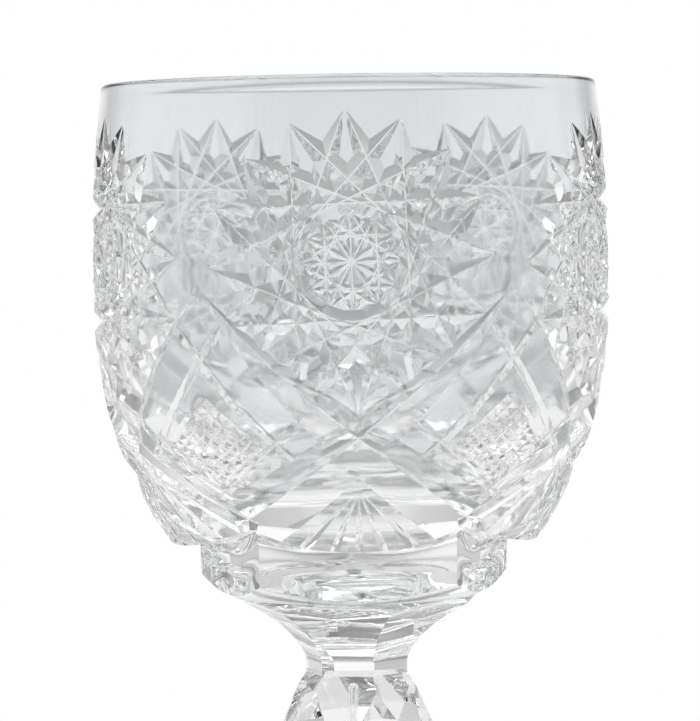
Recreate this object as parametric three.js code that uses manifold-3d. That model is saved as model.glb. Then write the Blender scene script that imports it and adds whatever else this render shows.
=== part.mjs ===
// Cut glass goblet: a bowl, a faceted stem and a foot, three gathers of clear lead glass that are
// fused end to end while hot and then cut on stone wheels. Millimetres, +Z up, origin at the centre
// of the ring that the foot stands on. Azimuths turn about +Z from the front, which faces -Y.
import * as THREE from 'three';
import { mergeVertices } from 'three/addons/utils/BufferGeometryUtils.js';
import Module from 'manifold-3d';

const DEGREE = Math.PI / 180;

// Bowl: a nearly upright wall that swells to a belly and draws in to a thick floor.
const RIM_RADIUS = 41.3;
const RIM_WALL = 1.8;
const RIM_TO_BELLY = 31;
const BELLY_SWELL = 2; // how far the belly stands out past the rim
const BELLY_WALL = 3.7;
const WALL_GROWTH = 2.2; // power by which the wall thickens from rim to belly
const BELLY_TO_EDGE = 45.5; // belly down to the bowl's lower edge
const EDGE_DRAW = 12.3; // how far the lower edge lies inside the belly
const BODY_CURVE = 2.6; // power of the curve from belly to lower edge
const FLOOR_THICKNESS = 6; // lower edge up to the bottom of the drinking space
const FLOOR_ROUNDNESS = 2.5; // power of the drinking space's rounded bottom

// Pattern round the bowl: five hobstars over crossed mitres, with a fan under each crossing.
const REPEATS = 5;
const STAR_POINTS = 16;
const STAR_STEP = 6; // points from one end of a chord to the other
const STAR_REACH = 24.3; // star's centre to its points
const STAR_BELOW_RIM = 29.7; // rim down to the star's centre
const STAR_TURN = -1.9 * DEGREE; // lean of a star, which is set out by eye
const STAR_SHIFT = -1.07 * DEGREE; // and how far it stands beside the middle of its panel
const STAR_CUT_DEPTH = 1.05;
const STAR_TAPER = 7; // length over which a chord runs out to its point
const STAR_LIFT = 0.05; // how far that point starts above the uncut face
const MITRE_TOP_BELOW_RIM = 33.4;
const MITRE_CROSSING_BELOW_RIM = 58.7;
const MITRE_FOOT_BELOW_RIM = 73.3;
const MITRE_DEPTH = 3.6;
const MITRE_GROWTH = 2.2; // power by which a mitre deepens from its point
const MITRE_LIFT = 0.07; // how far a mitre's point starts above the uncut face
const MITRE_OVERRUN = 0.05; // share of its length that a mitre runs on past the collar's corner
const FAN_RAYS = 5;
const FAN_SPREAD = 21.5 * DEGREE; // between neighbouring rays
const FAN_BELOW_RIM = 66.4;
const FAN_LENGTH = 13;
const FAN_DEPTH = 0.6;
const CUT_HALF_ANGLE = 55 * DEGREE; // half of the included angle of the V wheels
const STAR_HALF_ANGLE = 58 * DEGREE; // and of the wider wheel for the stars
const CUT_CLEARANCE = 1.6; // how far the wheel stands proud of the surface

// Collar under the bowl: flats ground round the base, one below each star.
const COLLAR_HEIGHT = 9.5;
const COLLAR_FLAT = 22.2; // axis to the middle of a flat
const COLLAR_ARCH = 3.3; // how far a flat's upper edge climbs to its corners
const COLLAR_UNDERCUT = 3.4; // joint up to the collar's lower corners
const COLLAR_MARGIN = 0.3; // glass outside the corners before the flats are ground

// Stem: six flat flutes on a flared neck, a faceted knop and a fluted shank.
const STEM_SIDES = 6;
const STEM_TURN = -13 * DEGREE;
const NECK_SETBACK = 1.7; // neck's top edge inside the middle of a collar flat
const NECK_LENGTH = 11.4;
const NECK_RISE = 2.5; // how far the neck runs on upright above the waist
const NECK_REACH = 9.1; // pull of the flare towards the collar, inward
const NECK_FLARE = 3.2; // and downward
const NECK_SHOULDER = 2.6; // height of the turned shoulder above the flutes' corners
const SHOULDER_DRAW = 2.4; // how far that shoulder draws in
const WAIST_FLAT = 7.5; // axis to a flat of the waist
const WAIST_LENGTH = 1.8;
const KNOP_LENGTH = 22.6;
const KNOP_FLAT = 14; // axis to the ridge where upper and lower facets would meet
const KNOP_GIRDLE = 12.8; // axis to the middle facets at half height
const KNOP_GIRDLE_TAPER = 3.2; // how far the middle facets lean in at the knop's ends
const SHANK_LENGTH = 24;
const SHANK_FOOT_FLAT = 12.6; // axis to a flute at the foot
const SHANK_STRAIGHT = 9; // how far the shank runs straight below the waist
const SHANK_FLARE = 4.5; // height over which it flares to the foot

// Foot: a low dome on a ground ring, with a rayed star cut under it.
const FOOT_RADIUS = 36;
const FOOT_EDGE = 2.8; // thickness at the rim of the foot
const FOOT_EDGE_ROUND = 1.2;
const FOOT_RISE = 6; // rim of the foot up to the shank
const FOOT_SWEEP = 11; // how far in from its rim the dome stays low
const FOOT_SWEEP_CLIMB = 1.5; // and how much it climbs there
const FOOT_BLEND = 5.5; // how far out from the shank the dome stays high
const FOOT_BLEND_FALL = 2; // and how much it falls there
const REST_RING_WIDTH = 4;
const FOOT_HOLLOW = 1.2; // depth of the hollow inside the ring
const FOOT_RAYS = 16;
const FOOT_RAY_INSET = 3; // ring's inner edge to the outer end of a ray
const FOOT_RAY_DEPTH = 1.1;
const FOOT_RAY_TAPER = 4; // length over which a ray runs out
const FOOT_RAY_LIFT = 0.1; // how far its end lifts clear of the hollow

// Smoothness: steps round the axis, along a profile's curve and along the cuts.
const ROUND_STEPS = 36;
const CURVE_STEPS = 8;
const WALL_STEPS = 2; // belly up to the lip
const BODY_STEPS = 5; // lower edge up to the belly
const LIP_STEPS = 4;
const FLAT_STEPS = 8;
const MITRE_STEPS = 7;
const CHORD_STEPS = 4;
const FAN_STEPS = 1;
const ROUTE_STEP = 0.001; // share of a cut over which its direction is taken
const MERGE_DISTANCE = 1e-4;

// Levels and radii that follow from the sizes above.
const FOOT_TOP = FOOT_EDGE + FOOT_RISE;
const LOWER_WAIST = FOOT_TOP + SHANK_LENGTH;
const KNOP_BASE = LOWER_WAIST + WAIST_LENGTH;
const KNOP_TOP = KNOP_BASE + KNOP_LENGTH;
const NECK_BASE = KNOP_TOP + WAIST_LENGTH;
const JOINT = NECK_BASE + NECK_LENGTH;
const EDGE = JOINT + COLLAR_HEIGHT;
const BELLY = EDGE + BELLY_TO_EDGE;
const RIM = BELLY + RIM_TO_BELLY;
const BELLY_RADIUS = RIM_RADIUS + BELLY_SWELL;
const NECK_RADIUS = COLLAR_FLAT - NECK_SETBACK;
const PITCH = 2 * Math.PI / REPEATS;

const wasm = await Module();
wasm.setup();

// Boolean operands and results

function solid(geometry) {
  const bare = geometry.clone();
  bare.deleteAttribute('normal');
  bare.deleteAttribute('uv');
  const merged = mergeVertices(bare, MERGE_DISTANCE);
  const mesh = new wasm.Mesh({
    numProp: 3,
    vertProperties: new Float32Array(merged.attributes.position.array),
    triVerts: new Uint32Array(merged.index.array),
  });
  return new wasm.Manifold(mesh);
}

function cutAway(body, cutters) {
  return cutters.reduce((rest, cutter) => rest.subtract(solid(cutter)), body);
}

function toGeometry(body) {
  const mesh = body.getMesh();
  const geometry = new THREE.BufferGeometry();
  geometry.setAttribute('position', new THREE.BufferAttribute(mesh.vertProperties, 3));
  geometry.setIndex(new THREE.BufferAttribute(mesh.triVerts, 1));
  geometry.computeVertexNormals();
  return geometry;
}

// Turned and lofted solids

function turned(profile, sides = ROUND_STEPS, turn = 0) {
  return new THREE.LatheGeometry(profile, sides, turn).rotateX(Math.PI / 2);
}

function at(radius, level) {
  return new THREE.Vector2(radius, level);
}

function around(azimuth, radius, level) {
  return new THREE.Vector3(radius * Math.sin(azimuth), -radius * Math.cos(azimuth), level);
}

// A closed solid through cross-sections that each run anticlockwise as seen from the far end.
// A loop joins its last section to its first, and any other loft is capped at both ends.
function loft(sections, loop = false) {
  const count = sections[0].length;
  const total = sections.length * count;
  const last = total - count;
  const indices = [];
  for (let start = 0; start < (loop ? total : last); start += count) {
    const following = (start + count) % total;
    for (let here = 0; here < count; here++) {
      const next = (here + 1) % count;
      indices.push(start + here, start + next, following + next);
      indices.push(start + here, following + next, following + here);
    }
  }
  for (let here = 1; here < count - 1 && !loop; here++) {
    indices.push(0, here + 1, here);
    indices.push(last, last + here, last + here + 1);
  }
  const geometry = new THREE.BufferGeometry().setFromPoints(sections.flat());
  return geometry.setIndex(indices);
}

function repeated(makeCutters) {
  const cutters = [];
  for (let repeat = 0; repeat < REPEATS; repeat++) {
    cutters.push(...makeCutters(repeat * PITCH));
  }
  return cutters;
}

// Bowl's outer face and the V cuts that follow it

function bowlRadius(level) {
  if (level >= BELLY) {
    return BELLY_RADIUS - BELLY_SWELL * ((level - BELLY) / RIM_TO_BELLY) ** 2;
  }
  return BELLY_RADIUS - EDGE_DRAW * ((BELLY - level) / BELLY_TO_EDGE) ** BODY_CURVE;
}

function bowlPoint(azimuth, level) {
  return around(azimuth, bowlRadius(level), level);
}

function bowlSlope(level) {
  if (level >= BELLY) {
    return -2 * BELLY_SWELL * (level - BELLY) / RIM_TO_BELLY ** 2;
  }
  const share = (BELLY - level) / BELLY_TO_EDGE;
  return EDGE_DRAW * BODY_CURVE * share ** (BODY_CURVE - 1) / BELLY_TO_EDGE;
}

function bowlNormal(azimuth, level) {
  return around(azimuth, 1, -bowlSlope(level)).normalize();
}

// The glass that a V wheel takes out along a route of [azimuth, level] on the bowl's outer face.
function vCut(route, depthAt, steps, halfAngle = CUT_HALF_ANGLE) {
  const flare = Math.tan(halfAngle);
  const sections = [];
  for (let step = 0; step <= steps; step++) {
    const share = step / steps;
    const before = bowlPoint(...route(share - ROUTE_STEP));
    const after = bowlPoint(...route(share + ROUTE_STEP));
    const normal = bowlNormal(...route(share));
    const along = after.clone().sub(before).normalize();
    const across = normal.clone().cross(along).normalize();
    const depth = depthAt(share);
    const halfWidth = (depth + CUT_CLEARANCE) * flare;
    const middle = bowlPoint(...route(share));
    const outer = middle.clone().addScaledVector(normal, CUT_CLEARANCE);
    sections.push([
      middle.addScaledVector(normal, -depth),
      outer.clone().addScaledVector(across, halfWidth),
      outer.clone().addScaledVector(across, -halfWidth),
    ]);
  }
  return loft(sections);
}

// A point of a star, numbered clockwise from the one at its top.
function starPoint(azimuth, point) {
  const angle = STAR_TURN + point * 2 * Math.PI / STAR_POINTS;
  const sideways = STAR_REACH * Math.sin(angle) / BELLY_RADIUS;
  return [azimuth + STAR_SHIFT + sideways, RIM - STAR_BELOW_RIM + STAR_REACH * Math.cos(angle)];
}

// Chords run from point to point of a star and leave a raised button in its middle.
function starCuts(azimuth) {
  const length = 2 * STAR_REACH * Math.sin(Math.PI * STAR_STEP / STAR_POINTS);
  const depthAt = (share) => {
    const run = Math.min(share, 1 - share) * length / STAR_TAPER;
    return Math.min(1, run) * (STAR_CUT_DEPTH + STAR_LIFT) - STAR_LIFT;
  };
  const cuts = [];
  for (let point = 0; point < STAR_POINTS; point++) {
    const start = starPoint(azimuth, point);
    const end = starPoint(azimuth, point + STAR_STEP);
    const route = (share) => start.map((from, axis) => THREE.MathUtils.lerp(from, end[axis], share));
    cuts.push(vCut(route, depthAt, CHORD_STEPS, STAR_HALF_ANGLE));
  }
  return cuts;
}

// Mitres cross under each star and run from between two stars to the collar's corners.
function mitreCuts(azimuth) {
  const top = RIM - MITRE_TOP_BELOW_RIM;
  const crossing = RIM - MITRE_CROSSING_BELOW_RIM;
  const foot = RIM - MITRE_FOOT_BELOW_RIM;
  const pull = 2 * crossing - (top + foot) / 2;
  const depthAt = (share) => {
    const grown = 1 - Math.abs(1 - share) ** MITRE_GROWTH;
    return (MITRE_DEPTH + MITRE_LIFT) * grown - MITRE_LIFT;
  };
  return [1, -1].map((side) => {
    const start = new THREE.Vector2(azimuth + side * PITCH / 2, top);
    const middle = new THREE.Vector2(azimuth, pull);
    const end = new THREE.Vector2(azimuth - side * PITCH / 2, foot);
    const curve = new THREE.QuadraticBezierCurve(start, middle, end);
    const route = (share) => curve.getPoint(share * (1 + MITRE_OVERRUN)).toArray();
    return vCut(route, depthAt, MITRE_STEPS);
  });
}

function fanCuts(azimuth) {
  const cuts = [];
  for (let ray = 0; ray < FAN_RAYS; ray++) {
    const lean = (ray - (FAN_RAYS - 1) / 2) * FAN_SPREAD;
    const apex = RIM - FAN_BELOW_RIM;
    const sideways = FAN_LENGTH * Math.sin(lean) / bowlRadius(EDGE);
    const drop = FAN_LENGTH * Math.cos(lean);
    const route = (share) => [azimuth + share * sideways, apex - share * drop];
    cuts.push(vCut(route, (share) => FAN_DEPTH * share, FAN_STEPS));
  }
  return cuts;
}

// A ring round the bowl's base whose inner wall is the collar's flats and whose roof is the
// scalloped lower edge of the bowl.
function collarCutter() {
  const floor = JOINT - COLLAR_MARGIN;
  const sections = [];
  for (let step = 0; step < REPEATS * FLAT_STEPS; step++) {
    const azimuth = step * PITCH / FLAT_STEPS;
    const offset = azimuth - PITCH * Math.round(azimuth / PITCH);
    const wall = COLLAR_FLAT / Math.cos(offset);
    const roof = EDGE + COLLAR_ARCH * (2 * offset / PITCH) ** 2;
    sections.push([
      around(azimuth, wall, floor),
      around(azimuth, wall, roof),
      around(azimuth, BELLY_RADIUS, roof),
      around(azimuth, BELLY_RADIUS, floor),
    ]);
  }
  return loft(sections, true);
}

function makeBowl() {
  const corner = COLLAR_FLAT / Math.cos(PITCH / 2) + COLLAR_MARGIN;
  const profile = [at(0, JOINT), at(NECK_RADIUS, JOINT), at(corner, JOINT + COLLAR_UNDERCUT)];
  const lipRadius = RIM_WALL / 2;
  const outerTop = RIM - lipRadius;
  for (let step = 0; step < BODY_STEPS; step++) {
    const level = THREE.MathUtils.lerp(EDGE, BELLY, step / BODY_STEPS);
    profile.push(at(bowlRadius(level), level));
  }
  for (let step = 0; step <= WALL_STEPS; step++) {
    const level = THREE.MathUtils.lerp(BELLY, outerTop, step / WALL_STEPS);
    profile.push(at(bowlRadius(level), level));
  }
  const lipMiddle = bowlRadius(outerTop) - lipRadius;
  for (let step = 1; step < LIP_STEPS; step++) {
    const angle = step / LIP_STEPS * Math.PI;
    profile.push(at(lipMiddle + lipRadius * Math.cos(angle), outerTop + lipRadius * Math.sin(angle)));
  }
  const innerBelly = BELLY_RADIUS - BELLY_WALL;
  for (let step = 0; step < WALL_STEPS; step++) {
    const share = step / WALL_STEPS;
    const level = THREE.MathUtils.lerp(outerTop, BELLY, share);
    const wall = THREE.MathUtils.lerp(RIM_WALL, BELLY_WALL, share ** WALL_GROWTH);
    profile.push(at(bowlRadius(level) - wall, level));
  }
  const depth = BELLY_TO_EDGE - FLOOR_THICKNESS;
  for (let step = 0; step < CURVE_STEPS; step++) {
    const angle = step / CURVE_STEPS * Math.PI / 2;
    const power = 2 / FLOOR_ROUNDNESS;
    const radius = innerBelly * Math.cos(angle) ** power;
    profile.push(at(radius, BELLY - depth * Math.sin(angle) ** power));
  }
  profile.push(at(0, BELLY - depth));
  const cutters = [
    collarCutter(),
    ...repeated(mitreCuts),
    ...repeated(starCuts),
    ...repeated(fanCuts),
  ];
  return toGeometry(cutAway(solid(turned(profile)), cutters));
}

// Stem

function makeStem() {
  const corners = 1 / Math.cos(Math.PI / STEM_SIDES);
  const cornerTurn = STEM_TURN + Math.PI / STEM_SIDES;
  const neck = new THREE.CubicBezierCurve(
    at(WAIST_FLAT, NECK_BASE),
    at(WAIST_FLAT, NECK_BASE + NECK_RISE),
    at(NECK_RADIUS - NECK_REACH, JOINT - NECK_FLARE),
    at(NECK_RADIUS, JOINT),
  );
  const shank = new THREE.CubicBezierCurve(
    at(SHANK_FOOT_FLAT, FOOT_TOP),
    at(WAIST_FLAT, FOOT_TOP + SHANK_FLARE),
    at(WAIST_FLAT, LOWER_WAIST - SHANK_STRAIGHT),
    at(WAIST_FLAT, LOWER_WAIST),
  );
  const knopMiddle = (KNOP_BASE + KNOP_TOP) / 2;
  const flats = [
    at(0, FOOT_TOP),
    ...shank.getPoints(CURVE_STEPS),
    at(WAIST_FLAT, KNOP_BASE),
    at(KNOP_FLAT, knopMiddle),
    at(WAIST_FLAT, KNOP_TOP),
    ...neck.getPoints(CURVE_STEPS),
    at(0, JOINT),
  ];
  const ridges = flats.map((point) => at(point.x * corners, point.y));
  const fluted = turned(ridges, STEM_SIDES, cornerTurn);
  const shoulder = at(NECK_RADIUS - SHOULDER_DRAW, JOINT - NECK_SHOULDER);
  const blank = turned([
    at(0, FOOT_TOP),
    at(SHANK_FOOT_FLAT, FOOT_TOP),
    at(SHANK_FOOT_FLAT, LOWER_WAIST),
    at(KNOP_FLAT * corners, KNOP_BASE),
    at(KNOP_FLAT * corners, KNOP_TOP),
    shoulder,
    at(NECK_RADIUS, JOINT),
    at(0, JOINT),
  ]);
  const girdle = turned([
    at(0, FOOT_TOP),
    at(NECK_RADIUS * corners, FOOT_TOP),
    at(NECK_RADIUS * corners, KNOP_BASE),
    at((KNOP_GIRDLE - KNOP_GIRDLE_TAPER) * corners, KNOP_BASE),
    at(KNOP_GIRDLE * corners, knopMiddle),
    at((KNOP_GIRDLE - KNOP_GIRDLE_TAPER) * corners, KNOP_TOP),
    at(NECK_RADIUS * corners, KNOP_TOP),
    at(NECK_RADIUS * corners, JOINT),
    at(0, JOINT),
  ], STEM_SIDES, STEM_TURN);
  return toGeometry(solid(fluted).intersect(solid(blank)).intersect(solid(girdle)));
}

// Foot

function makeFoot() {
  const ringInner = FOOT_RADIUS - FOOT_EDGE_ROUND - REST_RING_WIDTH;
  const roundMiddle = FOOT_RADIUS - FOOT_EDGE_ROUND;
  const dome = new THREE.CubicBezierCurve(
    at(roundMiddle, FOOT_EDGE),
    at(roundMiddle - FOOT_SWEEP, FOOT_EDGE + FOOT_SWEEP_CLIMB),
    at(SHANK_FOOT_FLAT + FOOT_BLEND, FOOT_TOP - FOOT_BLEND_FALL),
    at(SHANK_FOOT_FLAT, FOOT_TOP),
  );
  const body = solid(turned([
    at(0, FOOT_HOLLOW),
    at(ringInner - FOOT_HOLLOW, FOOT_HOLLOW),
    at(ringInner, 0),
    at(roundMiddle, 0),
    at(FOOT_RADIUS, FOOT_EDGE_ROUND),
    at(FOOT_RADIUS, FOOT_EDGE - FOOT_EDGE_ROUND),
    ...dome.getPoints(CURVE_STEPS),
    at(0, FOOT_TOP),
  ]));
  const flare = Math.tan(CUT_HALF_ANGLE);
  const rayEnd = ringInner - FOOT_HOLLOW - FOOT_RAY_INSET;
  const cutters = [];
  const section = (reach, depth) => {
    const halfWidth = (depth + FOOT_HOLLOW) * flare;
    return [
      new THREE.Vector3(reach, 0, FOOT_HOLLOW + depth),
      new THREE.Vector3(reach, -halfWidth, 0),
      new THREE.Vector3(reach, halfWidth, 0),
    ];
  };
  for (let ray = 0; ray < FOOT_RAYS; ray++) {
    const sections = [
      section(0, FOOT_RAY_DEPTH),
      section(rayEnd - FOOT_RAY_TAPER, FOOT_RAY_DEPTH),
      section(rayEnd, -FOOT_RAY_LIFT),
    ];
    cutters.push(loft(sections).rotateZ(ray * 2 * Math.PI / FOOT_RAYS));
  }
  return toGeometry(cutAway(body, cutters));
}

// Assembly

function piece(name, geometry, color, roughness) {
  const material = new THREE.MeshStandardMaterial({ color, roughness, metalness: 0 });
  const mesh = new THREE.Mesh(geometry, material);
  mesh.name = name;
  return mesh;
}

const goblet = new THREE.Group();
goblet.add(piece('foot', makeFoot(), 0xdfe3e5, 0.06));
goblet.add(piece('stem', makeStem(), 0xd9dddf, 0.05));
goblet.add(piece('bowl', makeBowl(), 0xdde1e3, 0.04));

export default goblet;
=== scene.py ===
# Cut glass goblet on a pale floor: foot, stem and bowl are fused end to end, then cut on wheels.
# The goblet's sizes are in millimetres, and each finished mesh is scaled to metres.
import math

import bpy
from mathutils import Matrix, Vector


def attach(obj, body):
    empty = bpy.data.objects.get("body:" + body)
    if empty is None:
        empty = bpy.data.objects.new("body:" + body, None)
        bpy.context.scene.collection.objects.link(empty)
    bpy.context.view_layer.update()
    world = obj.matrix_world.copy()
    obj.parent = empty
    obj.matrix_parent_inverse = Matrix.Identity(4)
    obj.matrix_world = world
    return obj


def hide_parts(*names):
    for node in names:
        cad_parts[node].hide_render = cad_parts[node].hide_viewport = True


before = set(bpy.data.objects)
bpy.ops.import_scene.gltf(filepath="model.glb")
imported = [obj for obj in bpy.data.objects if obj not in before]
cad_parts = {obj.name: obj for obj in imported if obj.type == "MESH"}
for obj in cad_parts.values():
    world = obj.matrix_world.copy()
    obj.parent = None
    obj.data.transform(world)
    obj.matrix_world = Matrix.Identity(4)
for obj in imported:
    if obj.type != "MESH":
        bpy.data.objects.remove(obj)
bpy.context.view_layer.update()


# Foot
# A disc of clear lead glass, pressed flat while hot and fused under the stem. Its rim is fire-polished,
# it stands on a narrow ground ring, and a sixteen-ray star is cut into the hollow inside that ring.
FOOT_RADIUS = 36.0
FOOT_EDGE = 2.8
FOOT_EDGE_ROUND = 1.2
FOOT_EDGE_STEPS = 10
FOOT_TOP = 8.8
FOOT_SWEEP = (11.0, 1.5)
FOOT_BLEND = (5.5, 2.0)
FOOT_SWEEP_STEPS = 30
SHANK_FOOT_FLAT = 12.6
REST_RING_WIDTH = 4.0
FOOT_HOLLOW = 1.2
FOOT_RAYS = 16
FOOT_RAY_DEPTH = 1.1
FOOT_RAY_INSET = 3.0
FOOT_RAY_TAPER = 4.0
FOOT_RAY_LIFT = 0.1
WHEEL_HALF_ANGLE = math.radians(55)
ROUND_SIDES = 240
SHARP_EDGE = math.radians(14)
FLUSH = 0.002
MILLIMETRE = 0.001
LEAD_GLASS_IOR = 1.54
PRESSED_TINT = (0.955, 0.965, 0.97, 1.0)
CUT_TINT = (0.985, 0.99, 0.99, 1.0)
FIRE_HAZE = 0.004
WHEEL_HAZE = 0.008
GROUND_HAZE = 0.35
HAZE_RANGE = (0.3, 1.7)
FIRE_WAVES = (60.0, 0.000004)
WHEEL_WAVES = (260.0, 0.000002)
GROUND_WAVES = (900.0, 0.00002)


def make_mesh(name, points, faces):
    mesh = bpy.data.meshes.new(name)
    mesh.from_pydata(points, [], faces)
    made = bpy.data.objects.new(name, mesh)
    bpy.context.scene.collection.objects.link(made)
    return made


def around(azimuth, radius, level):
    """A point round the axis, with azimuth 0 at the front."""
    return Vector((radius * math.sin(azimuth), -radius * math.cos(azimuth), level))


def turned(name, profile, sides=ROUND_SIDES, turn=0.0):
    """A solid of revolution whose profile of (radius, level) starts and ends on the axis."""
    points = []
    rings = []
    for radius, level in profile:
        count = sides if radius > 0 else 1
        rings.append([len(points) + side for side in range(count)])
        points += [around(turn + side * math.tau / sides, radius, level) for side in range(count)]
    faces = []
    for lower, upper in zip(rings, rings[1:]):
        for side in range(sides):
            following = (side + 1) % sides
            corners = [lower[side % len(lower)], lower[following % len(lower)]]
            corners += [upper[following % len(upper)], upper[side % len(upper)]]
            faces.append(list(dict.fromkeys(corners)))
    return make_mesh(name, points, faces)


def arc(centre, radius, start, end, steps):
    """Points of (radius, level) round a centre, with angles in degrees from outward, turning upward."""
    angles = [math.radians(start + (end - start) * step / steps) for step in range(steps + 1)]
    return [(centre[0] + radius * math.cos(a), centre[1] + radius * math.sin(a)) for a in angles]


def sweep_curve(first, first_pull, last_pull, last, steps):
    """A cubic curve of (radius, level) from first to last."""
    curve = []
    for step in range(steps + 1):
        t = step / steps
        weights = ((1 - t) ** 3, 3 * t * (1 - t) ** 2, 3 * t ** 2 * (1 - t), t ** 3)
        pulls = list(zip(weights, (first, first_pull, last_pull, last)))
        curve.append((sum(w * p[0] for w, p in pulls), sum(w * p[1] for w, p in pulls)))
    return curve


def loft(sections, loop=False):
    """A closed solid through sections that run anticlockwise as seen from the far end."""
    count = len(sections[0])
    total = count * len(sections)
    faces = []
    for start in range(0, total if loop else total - count, count):
        following = (start + count) % total
        for here in range(count):
            ahead = (here + 1) % count
            faces.append([start + here, start + ahead, following + ahead, following + here])
    if not loop:
        faces.append(list(reversed(range(count))))
        faces.append(list(range(total - count, total)))
    return [point for section in sections for point in section], faces


def repeated(sweeps, count):
    """The same solids set round the axis, as one mesh's points and faces."""
    points = []
    faces = []
    for repeat in range(count):
        turn = Matrix.Rotation(repeat * math.tau / count, 3, "Z")
        for sweep_points, sweep_faces in sweeps:
            faces += [[corner + len(points) for corner in face] for face in sweep_faces]
            points += [turn @ point for point in sweep_points]
    return points, faces


def carve(body, tool, operation="DIFFERENCE"):
    """Cuts a tool's shape out of a body, and uses the tool up."""
    step = body.modifiers.new("carve", "BOOLEAN")
    step.operation = operation
    step.solver = "MANIFOLD"
    step.material_mode = "TRANSFER"
    step.object = tool
    depsgraph = bpy.context.evaluated_depsgraph_get()
    carved = bpy.data.meshes.new_from_object(body.evaluated_get(depsgraph))
    body.modifiers.clear()
    body.data = carved
    bpy.data.objects.remove(tool)


def wheel_cut(body, sweeps, count, finish):
    """Cuts V sweeps into a body, repeated round its axis, and gives the new faces a finish."""
    tool = make_mesh("wheel", *repeated(sweeps, count))
    tool.data.materials.append(finish)
    carve(body, tool)


def glass(name, tint, haze, waves):
    """Clear glass with patchy haze, and with waves of a (scale, depth) that the fire or a wheel left."""
    material = bpy.data.materials.new(name)
    material.use_nodes = True
    nodes = material.node_tree.nodes
    links = material.node_tree.links
    shader = nodes["Principled BSDF"]
    shader.inputs["Base Color"].default_value = tint
    shader.inputs["Transmission Weight"].default_value = 1.0
    shader.inputs["IOR"].default_value = LEAD_GLASS_IOR
    place = nodes.new("ShaderNodeTexCoord")
    ripple = nodes.new("ShaderNodeTexNoise")
    ripple.inputs["Scale"].default_value = waves[0]
    ripple.inputs["Detail"].default_value = 1.0
    bump = nodes.new("ShaderNodeBump")
    bump.inputs["Strength"].default_value = 1.0
    bump.inputs["Distance"].default_value = waves[1]
    patches = nodes.new("ShaderNodeMapRange")
    patches.inputs["To Min"].default_value = HAZE_RANGE[0] * haze
    patches.inputs["To Max"].default_value = HAZE_RANGE[1] * haze
    links.new(place.outputs["Object"], ripple.inputs["Vector"])
    links.new(ripple.outputs["Fac"], bump.inputs["Height"])
    links.new(bump.outputs["Normal"], shader.inputs["Normal"])
    links.new(ripple.outputs["Fac"], patches.inputs["Value"])
    links.new(patches.outputs["Result"], shader.inputs["Roughness"])
    return material


def fused_joint():
    """Where two gathers are melted into one, nothing shows, so the faces there are clear."""
    material = bpy.data.materials.new("fused_joint")
    material.use_nodes = True
    shader = material.node_tree.nodes["Principled BSDF"]
    shader.inputs["Alpha"].default_value = 0.0
    return material


joint_clear = fused_joint()


def finish_piece(piece, node, joints):
    """Clears a piece's faces on its joint levels, scales it to metres, shades it and rides it on the part."""
    mesh = piece.data
    mesh.materials.append(joint_clear)
    clear = len(mesh.materials) - 1
    for face in mesh.polygons:
        for joint in joints:
            if all(abs(mesh.vertices[corner].co.z - joint) < FLUSH for corner in face.vertices):
                face.material_index = clear
    mesh.transform(Matrix.Scale(MILLIMETRE, 4))
    mesh.shade_smooth()
    mesh.set_sharp_from_angle(angle=SHARP_EDGE)
    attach(piece, "root")
    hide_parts(node)


rest_middle = FOOT_RADIUS - FOOT_EDGE_ROUND
ring_inner = rest_middle - REST_RING_WIDTH
upper_round = FOOT_EDGE - FOOT_EDGE_ROUND
foot_profile = [(0, FOOT_HOLLOW), (ring_inner - FOOT_HOLLOW, FOOT_HOLLOW), (ring_inner, 0)]
foot_profile += arc((rest_middle, FOOT_EDGE_ROUND), FOOT_EDGE_ROUND, -90, 0, FOOT_EDGE_STEPS)
foot_profile += arc((rest_middle, upper_round), FOOT_EDGE_ROUND, 0, 90, FOOT_EDGE_STEPS)[:-1]
foot_profile += sweep_curve(
    (rest_middle, FOOT_EDGE),
    (rest_middle - FOOT_SWEEP[0], FOOT_EDGE + FOOT_SWEEP[1]),
    (SHANK_FOOT_FLAT + FOOT_BLEND[0], FOOT_TOP - FOOT_BLEND[1]),
    (SHANK_FOOT_FLAT, FOOT_TOP),
    FOOT_SWEEP_STEPS,
)
foot_profile += [(0, FOOT_TOP)]
foot = turned("foot_disc", foot_profile)
foot.data.materials.append(glass("pressed_foot_glass", PRESSED_TINT, FIRE_HAZE, FIRE_WAVES))
foot.data.materials.append(glass("ground_resting_ring", PRESSED_TINT, GROUND_HAZE, GROUND_WAVES))
for face in foot.data.polygons:
    if max(foot.data.vertices[corner].co.z for corner in face.vertices) < FLUSH:
        face.material_index = 1


def foot_ray(reach, depth):
    """The V that one ray of the star has at a distance from the axis, up from under the foot."""
    half_width = (depth + FOOT_HOLLOW) * math.tan(WHEEL_HALF_ANGLE)
    deepest = Vector((reach, 0, FOOT_HOLLOW + depth))
    return [deepest, Vector((reach, -half_width, 0)), Vector((reach, half_width, 0))]


wheel_polish = glass("wheel_polished_glass", CUT_TINT, WHEEL_HAZE, WHEEL_WAVES)
ray_end = ring_inner - FOOT_HOLLOW - FOOT_RAY_INSET
ray_points, ray_faces = loft([
    foot_ray(0, FOOT_RAY_DEPTH),
    foot_ray(ray_end - FOOT_RAY_TAPER, FOOT_RAY_DEPTH),
    foot_ray(ray_end, -FOOT_RAY_LIFT),
])
for ray in range(FOOT_RAYS):
    turn = Matrix.Rotation(ray * math.tau / FOOT_RAYS, 3, "Z")
    wheel_cut(foot, [([turn @ point for point in ray_points], ray_faces)], 1, wheel_polish)
finish_piece(foot, "foot", [FOOT_TOP])


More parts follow.
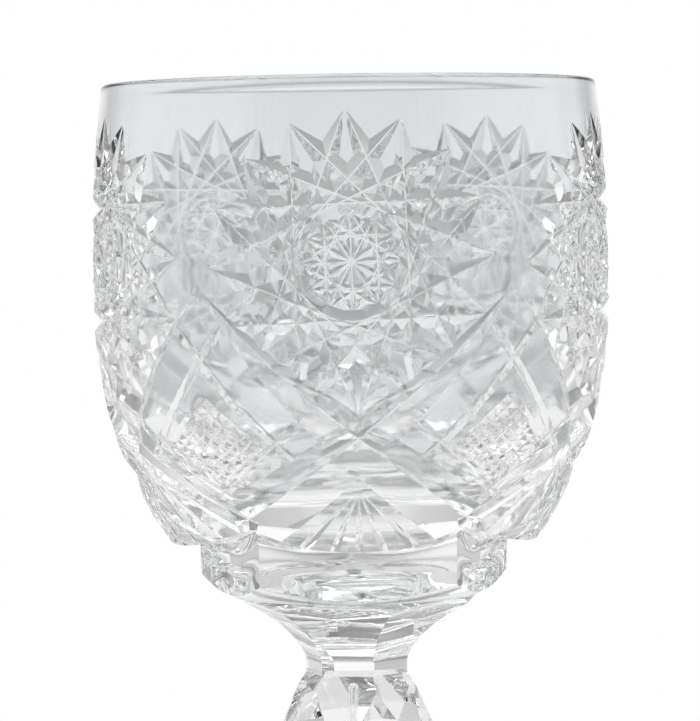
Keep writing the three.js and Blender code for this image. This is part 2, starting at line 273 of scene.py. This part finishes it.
# Stem
# A drawn rod of the same glass, fused to the bowl's base above and to the foot below. Six flat flutes run
# down its neck and shank, the knop between them is cut to flat facets, and a thin tear of air hangs inside.
STEM_SIDES = 6
STEM_TURN = math.radians(-13)
FLUTE_STEPS = 24
NECK_RADIUS = 20.5
NECK_PULLS = ((7.5, 61.5), (11.4, 67.2))
NECK_SHOULDER = 2.6
SHOULDER_DRAW = 2.4
WAIST_FLAT = 7.5
LOWER_WAIST = 32.8
KNOP_BASE = 34.6
KNOP_TOP = 57.2
KNOP_FLAT = 14.0
KNOP_GIRDLE = 12.8
KNOP_GIRDLE_TAPER = 3.2
NECK_BASE = 59.0
JOINT = 70.4
SHANK_STRAIGHT = 9.0
SHANK_FLARE = 4.5
TEAR_TOP = 54.0
TEAR_FOOT = 21.0
TEAR_RADIUS = 0.9
TEAR_TIP = (0.1, 0.4)
TEAR_DRAW = 12.0
TEAR_NARROWING = 0.7
TEAR_STEPS = 20
TEAR_END_STEPS = 8
TEAR_SIDES = 48
BLOWN_TINT = (0.88, 0.895, 0.903, 1.0)

fire_polish = glass("fire_polished_glass", BLOWN_TINT, FIRE_HAZE, FIRE_WAVES)
corner_share = 1 / math.cos(math.pi / STEM_SIDES)
corner_turn = STEM_TURN + math.pi / STEM_SIDES
knop_middle = (KNOP_BASE + KNOP_TOP) / 2
flute_profile = [(0, FOOT_TOP)]
flute_profile += sweep_curve(
    (SHANK_FOOT_FLAT, FOOT_TOP),
    (WAIST_FLAT, FOOT_TOP + SHANK_FLARE),
    (WAIST_FLAT, LOWER_WAIST - SHANK_STRAIGHT),
    (WAIST_FLAT, LOWER_WAIST),
    FLUTE_STEPS,
)
flute_profile += [(WAIST_FLAT, KNOP_BASE), (KNOP_FLAT, knop_middle), (WAIST_FLAT, KNOP_TOP)]
flute_profile += sweep_curve((WAIST_FLAT, NECK_BASE), *NECK_PULLS, (NECK_RADIUS, JOINT), FLUTE_STEPS)
flute_profile += [(0, JOINT)]
ridge_profile = [(radius * corner_share, level) for radius, level in flute_profile]
stem = turned("fluted_stem", ridge_profile, STEM_SIDES, corner_turn)
stem.data.materials.append(wheel_polish)

blank_profile = [(0, FOOT_TOP), (SHANK_FOOT_FLAT, FOOT_TOP), (SHANK_FOOT_FLAT, LOWER_WAIST)]
blank_profile += [(KNOP_FLAT * corner_share, KNOP_BASE), (KNOP_FLAT * corner_share, KNOP_TOP)]
blank_profile += [(NECK_RADIUS - SHOULDER_DRAW, JOINT - NECK_SHOULDER), (NECK_RADIUS, JOINT), (0, JOINT)]
drawn_blank = turned("drawn_blank", blank_profile)
drawn_blank.data.materials.append(fire_polish)
carve(stem, drawn_blank, "INTERSECT")

girdle_out = NECK_RADIUS * corner_share
girdle_end = (KNOP_GIRDLE - KNOP_GIRDLE_TAPER) * corner_share
girdle_profile = [(0, FOOT_TOP), (girdle_out, FOOT_TOP), (girdle_out, KNOP_BASE), (girdle_end, KNOP_BASE)]
girdle_profile += [(KNOP_GIRDLE * corner_share, knop_middle), (girdle_end, KNOP_TOP)]
girdle_profile += [(girdle_out, KNOP_TOP), (girdle_out, JOINT), (0, JOINT)]
girdle_facets = turned("girdle_facets", girdle_profile, STEM_SIDES, STEM_TURN)
girdle_facets.data.materials.append(wheel_polish)
carve(stem, girdle_facets, "INTERSECT")

tear_profile = [(0, TEAR_FOOT)]
tear_profile += sweep_curve(
    (TEAR_TIP[0], TEAR_FOOT + TEAR_TIP[1]),
    (TEAR_RADIUS * TEAR_NARROWING, TEAR_FOOT + TEAR_DRAW),
    (TEAR_RADIUS, TEAR_TOP - TEAR_DRAW),
    (TEAR_RADIUS, TEAR_TOP - TEAR_RADIUS),
    TEAR_STEPS,
)
tear_profile += arc((0, TEAR_TOP - TEAR_RADIUS), TEAR_RADIUS, 0, 90, TEAR_END_STEPS)[1:-1]
tear_profile += [(0, TEAR_TOP)]
air_tear = turned("air_tear", tear_profile, TEAR_SIDES)
air_tear.data.materials.append(fire_polish)
carve(stem, air_tear)
finish_piece(stem, "stem", [FOOT_TOP, JOINT])


# Bowl
# A thick blown gather with a thin fire-polished lip, a nearly upright wall, a belly and a heavy floor. Its
# base is fused to the stem and ground to five hollow faces under a scalloped edge. Washing has hazed its
# inside, more so lower down.
EDGE = 79.9
BELLY = 125.4
RIM = 156.4
RIM_RADIUS = 41.3
RIM_WALL = 1.8
BELLY_RADIUS = 43.3
BELLY_WALL = 3.7
WALL_GROWTH = 2.2
EDGE_DRAW = 12.3
BODY_CURVE = 2.6
FLOOR_LEVEL = 85.9
FLOOR_ROUNDNESS = 2.5
OUTER_STEPS = 40
LIP_STEPS = 24
INNER_STEPS = 20
INNER_FLOOR_STEPS = 36
SLOPE_STEP = 0.01
REPEATS = 5
PITCH = math.tau / REPEATS
COLLAR_FLAT = 22.2
COLLAR_ARCH = 3.3
COLLAR_UNDERCUT = 3.4
COLLAR_MARGIN = 0.3
COLLAR_STEPS = 24
COLLAR_FACE = 7.0
COLLAR_HOLLOW = 0.9
HOLLOW_STEPS = 12
WASHED_HAZE = 0.09
CLEAN_HAZE = 0.05
WASH_LINES = (0.124, 0.142)


def bowl_radius(level):
    if level >= BELLY:
        return BELLY_RADIUS - (BELLY_RADIUS - RIM_RADIUS) * ((level - BELLY) / (RIM - BELLY)) ** 2
    return BELLY_RADIUS - EDGE_DRAW * ((BELLY - level) / (BELLY - EDGE)) ** BODY_CURVE


def bowl_point(azimuth, level):
    return around(azimuth, bowl_radius(level), level)


def bowl_normal(azimuth, level):
    slope = (bowl_radius(level + SLOPE_STEP) - bowl_radius(level - SLOPE_STEP)) / (2 * SLOPE_STEP)
    return around(azimuth, 1, -slope).normalized()


collar_corner = COLLAR_FLAT / math.cos(PITCH / 2) + COLLAR_MARGIN
lip_radius = RIM_WALL / 2
lip_level = RIM - lip_radius
lip_middle = bowl_radius(lip_level) - lip_radius
wall_levels = [EDGE + (lip_level - EDGE) * step / OUTER_STEPS for step in range(OUTER_STEPS + 1)]
bowl_profile = [(0, JOINT), (NECK_RADIUS, JOINT), (collar_corner, JOINT + COLLAR_UNDERCUT)]
bowl_profile += [(bowl_radius(level), level) for level in wall_levels]
bowl_profile += arc((lip_middle, lip_level), lip_radius, 0, 180, LIP_STEPS)[1:]
outer_count = len(bowl_profile)
for step in range(1, INNER_STEPS):
    share = step / INNER_STEPS
    level = lip_level + (BELLY - lip_level) * share
    wall = RIM_WALL + (BELLY_WALL - RIM_WALL) * share ** WALL_GROWTH
    bowl_profile.append((bowl_radius(level) - wall, level))
inner_belly = BELLY_RADIUS - BELLY_WALL
roundness_power = 2 / FLOOR_ROUNDNESS
for step in range(INNER_FLOOR_STEPS):
    angle = step / INNER_FLOOR_STEPS * math.pi / 2
    drop = (BELLY - FLOOR_LEVEL) * math.sin(angle) ** roundness_power
    bowl_profile.append((inner_belly * math.cos(angle) ** roundness_power, BELLY - drop))
bowl_profile.append((0, FLOOR_LEVEL))
bowl = turned("blown_bowl", bowl_profile)
bowl.data.materials.append(fire_polish)

washed = glass("washed_inside_glass", BLOWN_TINT, WASHED_HAZE, FIRE_WAVES)
wash_nodes = washed.node_tree.nodes
wash_links = washed.node_tree.links
wash_height = wash_nodes.new("ShaderNodeSeparateXYZ")
wash_fade = wash_nodes["Map Range"]
wash_fade.inputs["From Min"].default_value = WASH_LINES[0]
wash_fade.inputs["From Max"].default_value = WASH_LINES[1]
wash_fade.inputs["To Min"].default_value = WASHED_HAZE
wash_fade.inputs["To Max"].default_value = CLEAN_HAZE
wash_links.new(wash_nodes["Texture Coordinate"].outputs["Object"], wash_height.inputs["Vector"])
wash_links.new(wash_height.outputs["Z"], wash_fade.inputs["Value"])
bowl.data.materials.append(washed)
for face in bowl.data.polygons[(outer_count - 1) * ROUND_SIDES:]:
    face.material_index = 1

collar_sections = []
for step in range(REPEATS * COLLAR_STEPS):
    azimuth = step * PITCH / COLLAR_STEPS
    offset = azimuth - PITCH * round(azimuth / PITCH)
    aside = (2 * offset / PITCH) ** 2
    roof = EDGE + COLLAR_ARCH * aside
    section = [around(azimuth, COLLAR_FLAT / math.cos(offset), JOINT - COLLAR_MARGIN)]
    for rise in range(HOLLOW_STEPS + 1):
        share = rise / HOLLOW_STEPS
        hollow = 4 * COLLAR_HOLLOW * (1 - aside) * share * (1 - share)
        face_radius = (COLLAR_FLAT - hollow) / math.cos(offset)
        section.append(around(azimuth, face_radius, roof - COLLAR_FACE * (1 - share)))
    section.append(around(azimuth, BELLY_RADIUS, roof))
    section.append(around(azimuth, BELLY_RADIUS, JOINT - COLLAR_MARGIN))
    collar_sections.append(section)
wheel_cut(bowl, [loft(collar_sections, loop=True)], 1, wheel_polish)


# Mitres
# Ten long V cuts made on a coarse stone wheel: two cross under each star and deepen to the collar's
# corners. They divide the lower bowl into five curved diamonds.
MITRE_TOP = 123.0
MITRE_CROSSING = 97.7
MITRE_FOOT = 83.1
MITRE_DEPTH = 3.6
MITRE_GROWTH = 2.2
MITRE_LIFT = 0.07
MITRE_HALF_ANGLE = math.radians(58)
MITRE_OVERRUN = 1.05
MITRE_STEPS = 40
WHEEL_CLEARANCE = 1.6
WHEEL_FLAT = 0.12
WHEEL_FLAT_LEAST = 0.1
WHEEL_DULL = 0.4
ROUTE_STEP = 0.001


def v_sweep(route, depth_at, steps, clearance=WHEEL_CLEARANCE, half_angle=WHEEL_HALF_ANGLE):
    """The glass that a V wheel takes out along a route of (azimuth, level) on the bowl's outer face."""
    flare = math.tan(half_angle)
    sections = []
    for step in range(steps + 1):
        share = step / steps
        middle = bowl_point(*route(share))
        normal = bowl_normal(*route(share))
        along = bowl_point(*route(share + ROUTE_STEP)) - bowl_point(*route(share - ROUTE_STEP))
        across = normal.cross(along).normalized()
        depth = depth_at(share)
        deepest = middle - normal * depth
        flat = across * WHEEL_FLAT * min(1, max(WHEEL_FLAT_LEAST, depth / WHEEL_DULL))
        outer = middle + normal * clearance
        flank = across * ((depth + clearance) * flare)
        sections.append([deepest - flat, deepest + flat, outer + flank, outer - flank])
    return loft(sections)


def mitre_route(azimuth, side):
    """The (azimuth, level) route from between two stars, through the crossing, to a collar corner."""
    pull = 2 * MITRE_CROSSING - (MITRE_TOP + MITRE_FOOT) / 2

    def route(share):
        level = MITRE_TOP * (1 - share) ** 2 + 2 * pull * share * (1 - share) + MITRE_FOOT * share ** 2
        return azimuth + side * PITCH * (0.5 - share), level

    return route


def overrun_route(route):
    """A mitre's route, carried on a little past the collar's corner."""
    return lambda share: route(share * MITRE_OVERRUN)


def mitre_depth(share):
    grown = 1 - abs(1 - share) ** MITRE_GROWTH
    return (MITRE_DEPTH + MITRE_LIFT) * grown - MITRE_LIFT


for side in (1, -1):
    route = overrun_route(mitre_route(0, side))
    mitre = v_sweep(route, mitre_depth, MITRE_STEPS, half_angle=MITRE_HALF_ANGLE)
    wheel_cut(bowl, [mitre], REPEATS, wheel_polish)


# Stars
# Five hobstars round the belly: sixteen straight chords are cut from point to point of each, and what
# they leave in the middle is a raised button with sixteen sides.
STAR_POINTS = 16
STAR_STEP = 6
STAR_REACH = 24.3
STAR_AZIMUTH = math.radians(-1.07)
STAR_LEVEL = 126.7
STAR_TURN = math.radians(-1.9)
STAR_DEPTH = 1.05
STAR_HALF_ANGLE = math.radians(58)
STAR_TAPER = 7.0
STAR_CHORD_STEPS = 26
POINT_LIFT = 0.05


def star_place(angle, distance):
    """The (azimuth, level) of a place on the front star, by its angle from the top and its distance."""
    sideways = distance * math.sin(angle + STAR_TURN) / BELLY_RADIUS
    return STAR_AZIMUTH + sideways, STAR_LEVEL + distance * math.cos(angle + STAR_TURN)


def straight(start, end):
    """The route between two places on the bowl."""
    return lambda share: tuple(a + (b - a) * share for a, b in zip(start, end))


def tapered(length, taper, depth):
    """A cut's depth that fades out over a taper at both ends."""
    def depth_at(share):
        run = min(share, 1 - share) * length / taper
        return depth * min(1, run) - POINT_LIFT * max(0, 1 - run)

    return depth_at


star_length = 2 * STAR_REACH * math.sin(math.pi * STAR_STEP / STAR_POINTS)
star_depth = tapered(star_length, STAR_TAPER, STAR_DEPTH)
for point in range(STAR_POINTS):
    start = star_place(point * math.tau / STAR_POINTS, STAR_REACH)
    end = star_place((point + STAR_STEP) * math.tau / STAR_POINTS, STAR_REACH)
    chord = v_sweep(straight(start, end), star_depth, STAR_CHORD_STEPS, half_angle=STAR_HALF_ANGLE)
    wheel_cut(bowl, [chord], REPEATS, wheel_polish)


# Buttons
# The raised middle of each star, covered with fine cuts: six cross at its centre, and twelve more
# run between them, so that small stars form where they meet.
BUTTON_RADIUS = 7.7
BUTTON_RAYS = 6
BUTTON_CHORD = 4.16
BUTTON_DEPTH = 0.42
BUTTON_TAPER = 1.2
BUTTON_CLEARANCE = 0.6
BUTTON_RAY_STEPS = 12
BUTTON_CHORD_STEPS = 10


def button_cut(angle, spread, steps):
    """A fine cut between the two places on the button's edge that lie a spread to each side of an angle."""
    ends = [star_place(angle + turn, BUTTON_RADIUS) for turn in (-spread, spread)]
    length = 2 * BUTTON_RADIUS * math.sin(spread)
    depth_at = tapered(length, BUTTON_TAPER, BUTTON_DEPTH)
    wheel_cut(bowl, [v_sweep(straight(*ends), depth_at, steps, BUTTON_CLEARANCE)], REPEATS, wheel_polish)


for ray in range(BUTTON_RAYS):
    button_cut(math.pi / 2 + ray * math.pi / BUTTON_RAYS, math.pi / 2, BUTTON_RAY_STEPS)
chord_spread = math.acos(BUTTON_CHORD / BUTTON_RADIUS)
for chord in range(2 * BUTTON_RAYS):
    button_cut(chord * math.pi / BUTTON_RAYS, chord_spread, BUTTON_CHORD_STEPS)


# Diamond panels
# Between the mitres each curved diamond is split by two thin cuts each way, and the middle of it is filled
# with a fine crosshatch of small pyramids.
PANEL_SHARES = ((0.187, 0.111), (0.732, 0.0))
PANEL_LENGTH = 32.0
PANEL_DEPTH = 0.55
PANEL_TAPER = 3.0
PANEL_STEPS = 30
HATCH_LOW = 0.33
HATCH_HIGH = 0.69
HATCH_OVERRUN = 0.02
HATCH_LINES = 8
HATCH_LENGTH = 10.0
HATCH_DEPTH = 0.7
HATCH_TAPER = 0.8
HATCH_STEPS = 12
HATCH_HALF_ANGLE = math.radians(48)
HATCH_CLEARANCE = 0.12


def panel_place(across, down):
    """A place in the diamond right of the front star: (0, 0) is its top and (1, 1) its foot."""
    upper_left = mitre_route(0, 1)
    upper_right = mitre_route(PITCH, -1)
    lower_left = mitre_route(0, -1)
    lower_right = mitre_route(PITCH, 1)
    left_top = Vector(upper_left(across / 2))
    right_top = Vector(upper_right(down / 2))
    right_foot = Vector(lower_right(0.5 + across / 2))
    left_foot = Vector(lower_left(0.5 + down / 2))
    ruled = left_top * (1 - down) + right_foot * down + right_top * (1 - across) + left_foot * across
    corners = Vector(upper_left(0)) * (1 - across) * (1 - down)
    corners += Vector(upper_left(0.5)) * across * (1 - down)
    corners += Vector(upper_right(0.5)) * (1 - across) * down
    corners += Vector(lower_right(1)) * across * down
    return tuple(ruled - corners)


def panel_route(start, tilt, swap, first=0.0, last=1.0):
    """The route of a cut down the diamond, or across it by a swap, that starts aside and may tilt."""
    def route(run):
        along = first + (last - first) * run
        aside = start + tilt * along
        return panel_place(along, aside) if swap else panel_place(aside, along)

    return route


panel_depth = tapered(PANEL_LENGTH, PANEL_TAPER, PANEL_DEPTH)
for start, tilt in PANEL_SHARES:
    for swap in (False, True):
        cut = v_sweep(panel_route(start, tilt, swap), panel_depth, PANEL_STEPS)
        wheel_cut(bowl, [cut], REPEATS, wheel_polish)

hatch_depth = tapered(HATCH_LENGTH, HATCH_TAPER, HATCH_DEPTH)
hatch_ends = (HATCH_LOW - HATCH_OVERRUN, HATCH_HIGH + HATCH_OVERRUN)
for swap in (False, True):
    for odd in (0, 1):
        lines = []
        for line in range(odd, HATCH_LINES, 2):
            start = HATCH_LOW + (HATCH_HIGH - HATCH_LOW) * line / (HATCH_LINES - 1)
            route = panel_route(start, 0.0, swap, *hatch_ends)
            lines.append(v_sweep(route, hatch_depth, HATCH_STEPS, HATCH_CLEARANCE, HATCH_HALF_ANGLE))
        wheel_cut(bowl, lines, REPEATS, wheel_polish)


# Fans
# Five short cuts spread from one point under each crossing of the mitres. They are made on the same
# V wheel, deepen downward and run off the bowl's lower edge.
FAN_RAYS = 5
FAN_SPREAD = math.radians(21.5)
FAN_LEVEL = 90.0
FAN_LENGTH = 13.0
FAN_DEPTH = 0.6
FAN_STEPS = 10


def fan_depth(share):
    return FAN_DEPTH * share


for ray in range(FAN_RAYS):
    lean = (ray - (FAN_RAYS - 1) / 2) * FAN_SPREAD
    end = (FAN_LENGTH * math.sin(lean) / bowl_radius(EDGE), FAN_LEVEL - FAN_LENGTH * math.cos(lean))
    fan = v_sweep(straight((0, FAN_LEVEL), end), fan_depth, FAN_STEPS)
    wheel_cut(bowl, [fan], REPEATS, wheel_polish)
finish_piece(bowl, "bowl", [JOINT])


# Floor
# A pale round sheet of matt card under the goblet, in metres. It lies loose, just below the resting ring, and
# fades into the white surround towards its edge.
FLOOR_RADIUS = 0.38
FLOOR_FADE_START = 0.2
FLOOR_LEVELS = (-0.0002, -0.0001)
FLOOR_SIDES = 96
FLOOR_COLOUR = (0.9, 0.9, 0.9, 1.0)
FLOOR_ROUGHNESS = 0.9

floor_turns = [side * math.tau / FLOOR_SIDES for side in range(FLOOR_SIDES)]
floor_rings = [[around(turn, FLOOR_RADIUS, level) for turn in floor_turns] for level in FLOOR_LEVELS]
floor = make_mesh("floor", *loft(floor_rings))
floor_paint = bpy.data.materials.new("pale_floor")
floor_paint.use_nodes = True
floor_nodes = floor_paint.node_tree.nodes
floor_links = floor_paint.node_tree.links
floor_shader = floor_nodes["Principled BSDF"]
floor_shader.inputs["Base Color"].default_value = FLOOR_COLOUR
floor_shader.inputs["Roughness"].default_value = FLOOR_ROUGHNESS
floor_place = floor_nodes.new("ShaderNodeTexCoord")
floor_reach = floor_nodes.new("ShaderNodeVectorMath")
floor_reach.operation = "LENGTH"
floor_fade = floor_nodes.new("ShaderNodeMapRange")
floor_fade.interpolation_type = "SMOOTHSTEP"
floor_fade.inputs["From Min"].default_value = FLOOR_FADE_START
floor_fade.inputs["From Max"].default_value = FLOOR_RADIUS
floor_fade.inputs["To Min"].default_value = 1.0
floor_fade.inputs["To Max"].default_value = 0.0
floor_links.new(floor_place.outputs["Object"], floor_reach.inputs[0])
floor_links.new(floor_reach.outputs["Value"], floor_fade.inputs["Value"])
floor_links.new(floor_fade.outputs["Result"], floor_shader.inputs["Alpha"])
floor.data.materials.append(floor_paint)


# Studio
# A white backdrop stands behind the goblet, level with it, and soft boxes shine from overhead and from both
# sides. The room between them and below is grey, so that the cuts show light and dark.
BACKDROP_SHADES = ((0.0, 0.43), (0.5, 0.5), (0.85, 0.48), (0.94, 0.64), (0.985, 1.0), (1.0, 1.0))
SIDE_SHADES = ((0.0, 2.1), (0.1, 2.1), (0.16, 1.0), (0.84, 1.0), (0.9, 2.1), (1.0, 2.1))
LOWER_SHADES = ((0.0, 0.85), (0.3, 0.64), (0.38, 0.62))
HORIZON_SHADES = ((0.432, 1.0), (0.53, 1.0), (0.57, 0.8))
OVERHEAD_SHADES = ((0.63, 0.48), (0.85, 0.48), (0.91, 4.0), (1.0, 4.0))
GLASS_BOUNCES = 28
GLOSS_BOUNCES = 16
CLEAR_BOUNCES = 24

world = bpy.data.worlds.new("studio")
bpy.context.scene.world = world
world.use_nodes = True
studio = world.node_tree.nodes
studio_links = world.node_tree.links
direction = studio.new("ShaderNodeTexCoord")
split = studio.new("ShaderNodeSeparateXYZ")
studio_links.new(direction.outputs["Generated"], split.inputs["Vector"])


def shade_along(axis, shades, room):
    """Shades the room along one axis of the view direction, from -1 at the first shade to 1 at the last."""
    reach = studio.new("ShaderNodeMapRange")
    reach.inputs["From Min"].default_value = -1.0
    ramp = studio.new("ShaderNodeValToRGB")
    for added in shades[2:]:
        ramp.color_ramp.elements.new(0.5)
    for element, (place, level) in zip(ramp.color_ramp.elements, shades):
        element.position = place
        element.color = (level, level, level, 1.0)
    shaded = studio.new("ShaderNodeVectorMath")
    shaded.operation = "MULTIPLY"
    shaded.inputs[0].default_value = (1.0, 1.0, 1.0)
    studio_links.new(split.outputs[axis], reach.inputs["Value"])
    studio_links.new(reach.outputs["Result"], ramp.inputs["Fac"])
    studio_links.new(ramp.outputs["Color"], shaded.inputs[1])
    if room:
        studio_links.new(room, shaded.inputs[0])
    return shaded.outputs["Vector"]


room = shade_along("Y", BACKDROP_SHADES, None)
room = shade_along("X", SIDE_SHADES, room)
room = shade_along("Z", LOWER_SHADES + HORIZON_SHADES + OVERHEAD_SHADES, room)
studio_links.new(room, studio["Background"].inputs["Color"])
bpy.context.scene.view_settings.view_transform = "Standard"
bpy.context.scene.cycles.max_bounces = GLASS_BOUNCES
bpy.context.scene.cycles.transmission_bounces = GLASS_BOUNCES
bpy.context.scene.cycles.glossy_bounces = GLOSS_BOUNCES
bpy.context.scene.cycles.transparent_max_bounces = CLEAR_BOUNCES


# Camera
# A long lens on a stand, in metres, level with the upper bowl and tipped slightly down. It is set a little to
# the left of the front star's middle, and its frame ends at the knop.
CAMERA_DISTANCE = 0.672
CAMERA_HEIGHT = 0.1335
CAMERA_AZIMUTH = math.radians(-1.25)
CAMERA_PITCH = math.radians(2.03)
CAMERA_ROLL = math.radians(-0.85)
CAMERA_YAW = math.radians(0.03)
CAMERA_NEAR = 0.01
IMAGE_HEIGHT = 721
FOCAL_PIXELS = 4000
SENSOR = 36.0

camera = bpy.data.objects.new("camera", bpy.data.cameras.new("camera"))
bpy.context.scene.collection.objects.link(camera)
camera.data.sensor_width = SENSOR
camera.data.lens = SENSOR * FOCAL_PIXELS / IMAGE_HEIGHT
camera.data.clip_start = CAMERA_NEAR
camera.location = around(CAMERA_AZIMUTH, CAMERA_DISTANCE, CAMERA_HEIGHT)
aim = Matrix.Rotation(CAMERA_AZIMUTH + CAMERA_YAW, 3, "Z")
aim = aim @ Matrix.Rotation(math.pi / 2 - CAMERA_PITCH, 3, "X")
aim = aim @ Matrix.Rotation(CAMERA_ROLL, 3, "Z")
camera.rotation_euler = aim.to_euler()
bpy.context.scene.camera = camera
